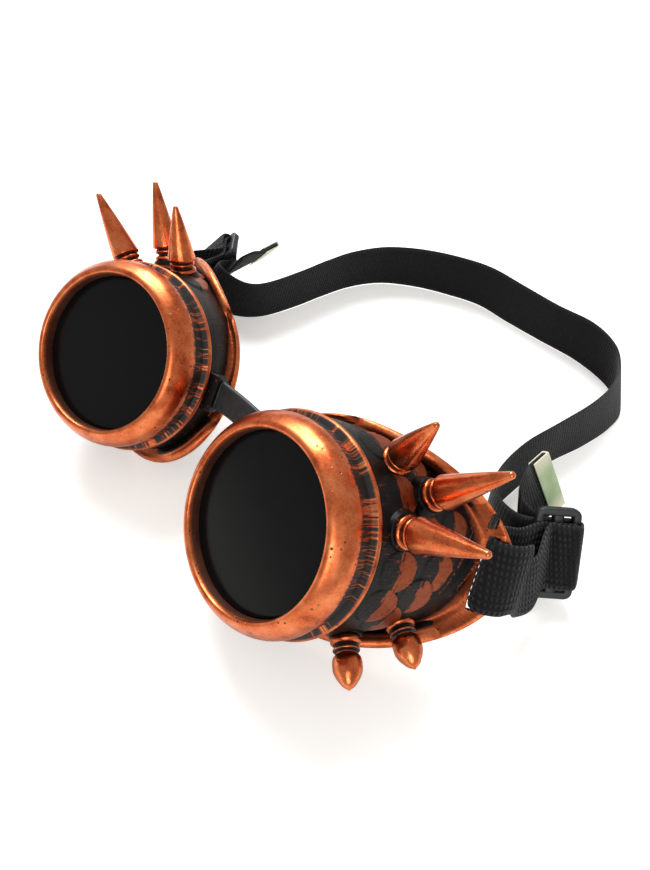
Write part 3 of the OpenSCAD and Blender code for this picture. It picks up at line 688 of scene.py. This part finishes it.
# Turned bosses under the spikes: a lathe for each, in one piece.
def makeBosses(side):
    v = cupValues
    points, faces, start = [], [], 0
    # height, foot radius and top radius of each kind
    for spec, tall, wide, narrow in [(s, 4.6, 6.1, 4.9) for s in v["longSpikes"]] + [(s, 3.6, 5.5, 4.5) for s in v["shortSpikes"]]:
        foot, axes = spikeFrame(spec)
        profile = rounded([[0, -tall], [wide, -tall], [wide - 0.25, -tall * 0.55], [narrow + 0.25, -0.9], [narrow, 0], [0, 0.0]], 0.5, 5)
        grid = lathe(profile, 56)
        points.append(grid.reshape(-1, 3) @ axes + foot)
        faces.append(gridFaces(grid.shape[0], grid.shape[1], True, False, start))
        start += len(points[-1])
    own = np.concatenate(points)
    return onCup(meshFrom(side + "SpikeBosses", toWorld(side, own), np.concatenate(faces), {"ownMm": own}), side)


# Point on the bridge's line: radius out from the lens axis, height across the band.
def bandPoint(side, radius, height):
    v = cupValues
    t = math.radians(v["bridgeAngle"])
    own = np.array([radius * math.cos(t) - height * math.sin(t), radius * math.sin(t) + height * math.cos(t), v["bridgeDepth"]])
    return toWorld(side, own)


# The block that holds the band: a rounded box section lofted outwards from the wall.
def makeBridgeBlock(side):
    v = cupValues
    half, deep = v["bridgeWidth"] / 2 + 1.6, 2.7
    section = rounded([[-half, -deep], [half, -deep], [half, deep], [-half, deep]], 1.2, 6, closed=True)
    rings = [(28.6, 1.0), (31.5, 1.0), (33.2, 0.99), (33.7, 0.95), (33.8, 0.86)]
    t = math.radians(v["bridgeAngle"])
    radial, tangent = np.array([math.cos(t), math.sin(t), 0]), np.array([-math.sin(t), math.cos(t), 0])
    axial = np.array([0, 0, 1.0])
    grid = np.stack([radial * r + (section[:, :1] * k) * tangent + (section[:, 1:] * k + v["bridgeDepth"]) * axial for r, k in rings])
    rows, columns = grid.shape[:2]
    own = grid.reshape(-1, 3)
    return onCup(meshFrom(side + "BridgeBlock", toWorld(side, own), tubeFaces(rows, columns), {"ownMm": own}), side)


for side in ("left", "right"):
    makeCup(side)
    longNames = (("SpikeTop", "_spike_top"), ("SpikeRear", "_spike_rear"), ("SpikeSide", "_spike_side"))
    for (name, nodeName), spec in zip(longNames, cupValues["longSpikes"]):
        makeSpike(side, name, nodeName, spec, longProfile(spec[5]))
    shortNames = (("SpikeLowFront", "_spike_low_front"), ("SpikeLowRear", "_spike_low_rear"))
    for (name, nodeName), spec in zip(shortNames, cupValues["shortSpikes"]):
        makeSpike(side, name, nodeName, spec, shortProfile())
    makeBosses(side)
    makeBridgeBlock(side)
print("cups and spikes made")

buckle = {"middle": np.array([95.2, 81.0, 15.6]), "up": unit(np.array([-18.0, 14, 26])), "along": unit(np.array([0.721, 0.68, 0.132])),
          "length": 31.0, "width": 14.4, "thick": 3.0}
buckle["across"] = np.cross(buckle["along"], buckle["up"])


# Station at the buckle: bottom edge and top edge of the strap there.
def atBuckle(along, across):
    centre = buckle["middle"] + buckle["along"] * along + buckle["across"] * across
    half = buckle["up"] * layout["strapWidth"] / 2
    return np.concatenate([centre - half, centre + half])


def mirrored(stations):
    return np.asarray(stations, float) * [-1, 1, 1, -1, 1, 1]


# the strap's routes: bottom edge then top edge of each station, close to those in the part's source
loopIn = [atBuckle(3.4, -2.2), atBuckle(5.2, -1.7), atBuckle(5.9, 0), atBuckle(5.2, 1.7), atBuckle(3.4, 2.2), atBuckle(0, 2.2),
          atBuckle(-6, 2.2), [94.2, 65.4, 8.4, 83.4, 71.2, 26.6], [89.2, 57, 11.2, 79.8, 65.4, 28.8]]
loopOut = [[99.6, 56.4, 9.4, 90.6, 62.8, 28], [101.9, 64.5, 6.4, 92.2, 68.6, 26.3], atBuckle(-4, 4.1), atBuckle(0, 4), atBuckle(3.2, 4)]
# the cup's strap bar in the cup's axes: its place, and the cosine and sine of its lean
strapBar = {"x": 38.8, "z": -55.4, "cosine": 0.6727, "sine": 0.74}
# round that bar: distance out from the wall, height above the flange, place up the slot
loopBar = [(7.2, -4.6, 0.4), (4.6, -3, 0), (3.5, -1.2, 0), (3.4, 0.6, 0), (4.2, 2.3, 0), (6.8, 3.2, 0), (11, 3.4, 0.6), (15.4, 1.4, 1.4)]
clip = {"middle": np.array([79.0, 96.3, 22.8]), "long": unit(np.array([-14.8, -1.8, 16.2])), "out": unit(np.array([0.02, 1, 0.12])),
        "length": 21.4}
# the way out, made square to the clip's length
clip["way"] = unit(clip["out"] - clip["long"] * float(clip["out"] @ clip["long"]))


def atClip(along):
    centre, half = clip["middle"] + clip["way"] * along, clip["long"] * layout["strapWidth"] / 2
    return np.concatenate([centre - half, centre + half])


def barStation(side, out, height, place):
    v, half = strapBar, layout["strapWidth"] / 2
    x, z = v["x"] + v["cosine"] * out + v["sine"] * height, v["z"] - v["sine"] * out + v["cosine"] * height
    ends = toWorld(side, np.array([[x, place - half, z], [x, place + half, z]])) - layout["shift"]
    return ends.ravel()


def loopRoute(side):
    first, last = (loopIn, loopOut) if side == "left" else (mirrored(loopIn), mirrored(loopOut))
    return [*first, *[barStation(side, *place) for place in loopBar], *last]


tailRoute = [atBuckle(3.3, 4), atBuckle(6.2, 3.5), atBuckle(7.9, 0), atBuckle(6.2, -3.5), atBuckle(3.4, -4), atBuckle(0, -4.1),
             atBuckle(-4, -4.7), [88.1, 75.9, 7.6, 77.3, 81.9, 25.6], [86.2, 77.4, 11.4, 74.4, 82, 29], [85.6, 84.6, 13.6, 72.4, 86.4, 31],
             atClip(-5), atClip(-3), atClip(2.6)]
leftRoute = [atBuckle(3.4, -2.2), atBuckle(0, -2.2), atBuckle(-6, -2.2), [88.6, 68.4, 6.6, 79.6, 76, 25.4],
             [80.6, 70.4, 4.2, 72.6, 77.4, 23.6], [73.6, 77.4, 2, 67.2, 82.6, 22.4], [70.6, 88, 0.6, 64, 92, 21.2],
             [70.2, 108, 0.3, 63.4, 108, 21.2], [71.4, 128, 0.2, 66, 127, 21.4], [75.4, 147, 0.2, 68.4, 148, 21],
             [77.6, 166, 0.2, 68, 165.6, 20], [75.6, 180.6, 0.2, 63.6, 182.4, 18.6], [63.4, 190.6, 0.2, 55.6, 191, 20.6],
             [45, 193.6, 0.2, 42, 194.2, 21.8], [24.6, 190.6, 0.2, 24.4, 190.4, 22], [6, 188, 0.2, 6, 188.4, 22.2]]
rightRoute = [leftRoute[-1], [-11, 186.2, 0.2, -12, 186.6, 22.2], [-27, 178, 0.2, -27, 179.6, 22], [-41, 168, 0.2, -41.6, 168, 22],
              [-53, 154.6, 0.2, -53, 153, 22], [-59.4, 138, 0.2, -58.6, 136, 22], [-61.6, 120, 0.2, -60, 120, 22],
              [-62.6, 104, 0.2, -60.2, 103, 22]]
endRoute = [rightRoute[-1], [-65.4, 86.6, 0.4, -61.6, 86, 22], [-71.4, 75.4, 1.6, -65, 77.8, 22.6], [-80, 69.4, 4.4, -72, 73.6, 24.2],
            [-88.4, 68, 6.6, -80.4, 73.6, 25.6], *mirrored([atBuckle(-6, -2.2), atBuckle(0, -2.2), atBuckle(3.4, -2.2)])]


# A flat rounded section carried along the route. across runs from -1 to 1 over the width; thickness =
# thick (1 - |across|^10)^0.5, with a cosine of the ribs on both faces. before and after are the neighbour
# strap's stations, which keep the curve smooth over the joint.
def strapMesh(name, route, steps, thick, ribs=0, ribLift=0.0, startAt=0.0, before=None, after=None, side=40):
    route = np.asarray(route, float)
    knots = np.stack(([before] if before is not None else []) + list(route) + ([after] if after is not None else []))
    path = curveThrough(knots, steps)
    if before is not None:
        path = path[steps:]
    if after is not None:
        path = path[:len(path) - steps]
    low, high = path[:, :3] + layout["shift"], path[:, 3:] + layout["shift"]
    middle = (low + high) / 2
    travel = np.gradient(middle, axis=0)
    acrossWay = (high - low) / 2
    normal = unit(np.cross(travel, acrossWay))
    u = -np.cos(np.linspace(0, np.pi, side))
    profile = np.sqrt(np.clip(1 - np.abs(u) ** 10, 0, 1)) * thick / 2
    ripple = ribLift * 0.5 * (1 + np.cos(u * np.pi * ribs)) * (np.abs(u) < 0.93) if ribs else 0
    top, bottom = profile + ripple, -(profile + ripple)
    uu = np.concatenate([u, u[::-1][1:-1]])
    hh = np.concatenate([top, bottom[::-1][1:-1]])
    grid = middle[:, None] + acrossWay[:, None] * uu[None, :, None] + normal[:, None] * hh[None, :, None]
    length = np.concatenate([[0], np.cumsum(np.linalg.norm(np.diff(middle, axis=0), axis=1))]) + startAt
    width = np.linalg.norm(acrossWay, axis=1)
    strapMm = np.stack([np.broadcast_to(length[:, None], grid.shape[:2]), width[:, None] * uu[None],
                        np.broadcast_to(np.abs(uu)[None], grid.shape[:2])], -1)
    rows, columns = grid.shape[:2]
    piece = meshFrom(name, grid.reshape(-1, 3), tubeFaces(rows, columns), {"strapMm": strapMm.reshape(-1, 3)}, weld=False, sharpDeg=60)
    return piece, length[-1]


thick = layout["strapThick"]
backOne, lengthOne = strapMesh("leftBackStrap", leftRoute, 10, thick, after=rightRoute[1])
backTwo, lengthTwo = strapMesh("middleBackStrap", rightRoute, 12, thick, startAt=lengthOne, before=leftRoute[-2], after=endRoute[1])
backEnd, lengthEnd = strapMesh("rightBackStrap", endRoute, 10, thick, startAt=lengthTwo, before=rightRoute[-2])
leftLoop, loopLength = strapMesh("leftCupLoop", loopRoute("left"), 6, thick, ribs=10, ribLift=0.22, side=84)
rightLoop, loopLength = strapMesh("rightCupLoop", loopRoute("right"), 6, thick, ribs=10, ribLift=0.22, side=84)
leftTail, tailLength = strapMesh("leftTail", tailRoute, 7, thick)
rightTail, tailLength = strapMesh("rightTail", mirrored(tailRoute), 7, thick)
print("strap lengths in mm:", round(lengthEnd), round(loopLength), round(tailLength))

for piece, nodeName in ((backOne, "left_run_strap"), (backTwo, "right_run_strap"), (backEnd, "right_end_strap"), (leftLoop, "left_strap_loop"),
                        (rightLoop, "right_strap_loop"), (leftTail, "left_strap_tail"), (rightTail, "right_strap_tail")):
    ribbed = nodeName.endswith("loop")
    put(piece, None, [nodeName], finish["ribbedElastic" if ribbed else "smoothElastic"])
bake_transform(backOne)
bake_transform(backTwo)
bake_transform(backEnd)
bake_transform(leftLoop)
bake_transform(rightLoop)
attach(leftTail, "left_slider")
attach(rightTail, "right_slider")


def bridgeStation(side, radius):
    half = cupValues["bridgeWidth"] / 2
    return np.concatenate([bandPoint(side, radius, half), bandPoint(side, radius, -half)]) - np.tile(layout["shift"], 2)


# The band from block to block: the same section as a strap, thicker and with soft edges.
def makeBridge():
    centre = (bridgeStation("left", 35.4) + bridgeStation("right", 35.4)) / 2
    route = [bridgeStation("left", r) for r in (30.4, 32.2, 33.8, 34.6)] + [centre] + [bridgeStation("right", r) for r in (34.6, 33.8, 32.2, 30.4)]
    piece, _ = strapMesh("noseBand", route, 10, 2.0, side=32)
    layer = piece.data.attributes.new("ownMm", "FLOAT_VECTOR", "POINT")
    co = np.zeros(len(piece.data.vertices) * 3, np.float32)
    piece.data.vertices.foreach_get("co", co)
    layer.data.foreach_set("vector", co * 1000)
    put(piece, None, ["nose_bridge"], finish["bridge"])
    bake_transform(piece)


makeBridge()


# The sliders and clips are drawn on the left and mirrored for the right.
def onSide(side, points):
    return points * np.array([1 if side == "left" else -1, 1, 1]) + layout["shift"]


# A section of (side, up) points carried along a flat path; up is the plate's normal.
def sweepBar(path, section, closed, outDirection):
    travel = np.roll(path, -1, 0) - np.roll(path, 1, 0) if closed else np.gradient(path, axis=0)
    sideways = unit(np.cross(travel, outDirection))
    return path[:, None] + sideways[:, None] * section[None, :, :1] + outDirection * section[None, :, 1:]


# Plate with two windows: a rounded bar round the outside and one across the middle.
def makeSlider(side):
    v = buckle
    bar, thickHalf = 2.7, v["thick"] / 2
    section = rounded([[-bar / 2, -thickHalf], [bar / 2, -thickHalf], [bar / 2, thickHalf], [-bar / 2, thickHalf]], 0.8, 5, closed=True)
    long, wide = v["length"] / 2 - bar / 2, v["width"] / 2 - bar / 2
    loop = rounded([[-long, -wide], [long, -wide], [long, wide], [-long, wide]], 1.6, 7, closed=True)
    outline = np.column_stack([loop, np.zeros(len(loop))])
    outer = sweepBar(outline, section, True, np.array([0, 0, 1.0]))
    middle = np.column_stack([np.linspace(-long, long, 24), np.zeros(24), np.zeros(24)])
    cross = sweepBar(middle, section * [1.25, 0.92], False, np.array([0, 0, 1.0]))
    points, faces, start = [], [], 0
    for grid, closed in ((outer, True), (cross, False)):
        rows, columns = grid.shape[:2]
        faces += [list(q) for q in gridFaces(rows, columns, closed, True, start)]
        if not closed:
            faces += [list(range(start, start + columns)), list(range(start + (rows - 1) * columns, start + rows * columns))]
        points.append(grid.reshape(-1, 3))
        start += rows * columns
    own = np.concatenate(points)
    # own axes: x along the plate's length, y along the strap, z through the plate
    world = own[:, :1] * v["up"] + own[:, 1:2] * v["along"] + own[:, 2:] * v["across"] + v["middle"]
    piece = meshFrom(side + "SlidePlate", onSide(side, world), faces, {"ownMm": own})
    return put(piece, side + "_slider", [side + "_strap_slider"], finish["slider"])


# Folded sheet: the fold's outline in (out, through) carried across the strap, its ends drawn in a little.
def makeClip(side):
    v = clip
    out = v["way"]
    through = np.cross(out, v["long"])
    outline = rounded([[-4, -1.3], [4.2, -1.3], [4.2, 1.3], [-4, 1.3], [-4, 0.85], [3.5, 0.85], [3.5, -0.85], [-4, -0.85]], 0.55, 5, closed=True)
    half = v["length"] / 2
    ends = [(-half, 0.97), (-half + 0.25, 1.0), (-5, 1.0), (0, 1.0), (5, 1.0), (half - 0.25, 1.0), (half, 0.97)]
    grid = np.stack([v["middle"] + v["long"] * s + outline[:, :1] * k * out + outline[:, 1:] * k * through for s, k in ends])
    rows, columns = grid.shape[:2]
    local = np.stack([np.concatenate([np.full((columns, 1), s), outline], 1) for s, _ in ends]).reshape(-1, 3)
    # painted highlight: the ends and the fold's outer edge are marked, stored in the soot attribute, for a cream colour
    # that stands in for the light on them
    paintedEdgeHighlight = np.maximum((np.abs(local[:, 0]) > half - 0.3) * 1.0, (local[:, 1] > 3.9) * 1.0)
    attributes = {"ownMm": local, "soot": paintedEdgeHighlight}
    piece = meshFrom(side + "EndClip", onSide(side, grid.reshape(-1, 3)), tubeFaces(rows, columns), attributes, weld=False)
    return put(piece, side + "_slider", [side + "_strap_clip"], finish["clip"])


for side in ("left", "right"):
    makeSlider(side)
    makeClip(side)
print("strap, bridge, sliders and clips made")

studio = {"floorHalf": 3.0, "floorColour": "#fbfaf7", "floorGlow": 0.32, "glowColour": (1, 0.975, 0.94, 1), "worldStrength": 0.55,
          # place, target, size and watts of each softbox
          "keySoftbox": ((-0.75, 0.35, 0.95), (0, 0, 0.02), (0.7, 0.7), 18.9),
          "sideSoftbox": ((0.7, -0.75, 0.7), (0, -0.03, 0.03), (0.45, 0.6), 4.5)}


def makeFloor():
    mesh = bpy.data.meshes.new("paleFloor")
    h = studio["floorHalf"]
    mesh.from_pydata([(-h, -h, 0), (h, -h, 0), (h, h, 0), (-h, h, 0)], [], [(0, 1, 2, 3)])
    floor = bpy.data.objects.new("paleFloor", mesh)
    bpy.context.scene.collection.objects.link(floor)
    made, tree, shader = newMaterial("paintedBoard")
    # white painted board: no sheen, a touch of light of its own for the camera so that it stays white
    place = node(tree, "ShaderNodeTexCoord").outputs["Object"]
    tone = ramp(tree, noise(tree, place, 9, 2), [(0.3, "#f9f8f5"), (0.7, studio["floorColour"])])
    feed(tree, shader, colour=tone, rough=0.9, level=0.1)
    glow = node(tree, "ShaderNodeLightPath").outputs["Is Camera Ray"]
    tree.links.new(calc(tree, "MULTIPLY", glow, studio["floorGlow"]), shader.inputs["Emission Strength"])
    shader.inputs["Emission Color"].default_value = studio["glowColour"]
    mesh.materials.append(made)


def makeLamp(name, place, target, size, power):
    data = bpy.data.lights.new(name, "AREA")
    data.shape, data.size, data.size_y, data.energy = "RECTANGLE", size[0], size[1], power
    lamp = bpy.data.objects.new(name, data)
    lamp.location = place
    look = np.array(target, float) - np.array(place, float)
    bpy.context.scene.collection.objects.link(lamp)
    lamp.rotation_mode = "QUATERNION"
    lamp.rotation_quaternion = mathutils.Vector(look).to_track_quat("-Z", "Y")


makeFloor()
makeLamp("keySoftbox", *studio["keySoftbox"])
makeLamp("sideSoftbox", *studio["sideSoftbox"])
world = bpy.data.worlds.new("studioWorld")
bpy.context.scene.world = world
world.use_nodes = True
worldTree = world.node_tree
worldTree.nodes.clear()
path = node(worldTree, "ShaderNodeLightPath").outputs
white = calc(worldTree, "MAXIMUM", path["Is Camera Ray"], path["Is Transmission Ray"])
strength = blendNumber(worldTree, white, studio["worldStrength"], 1.0)
back = node(worldTree, "ShaderNodeBackground", {"Color": (1, 1, 1, 1), "Strength": strength})
node(worldTree, "ShaderNodeOutputWorld", {"Surface": back.outputs[0]})

# solved from the photograph's two ring outlines
cameraValues = {"place": np.array([92.25, -42.22, 167.0]), "right": np.array([0.66217, 0.73929, 0.12237]),
                "up": np.array([-0.63274, 0.46414, 0.61986]), "back": np.array([0.40146, -0.48788, 0.77512]),
                "lens": 22.345, "sensor": 36.0}


def makeCamera():
    v = cameraValues
    data = bpy.data.cameras.new("photoCamera")
    data.lens, data.sensor_width, data.sensor_fit = v["lens"], v["sensor"], "AUTO"
    data.clip_start, data.clip_end = 0.01, 20
    camera = bpy.data.objects.new("photoCamera", data)
    bpy.context.scene.collection.objects.link(camera)
    place = (v["place"] + layout["shift"]) / 1000
    turn = mathutils.Matrix([[v["right"][i], v["up"][i], v["back"][i], place[i]] for i in range(3)] + [[0, 0, 0, 1]])
    camera.matrix_world = turn
    bpy.context.scene.camera = camera


makeCamera()
scene = bpy.context.scene
scene.view_settings.view_transform = "Standard"
print("floor, light and camera made")
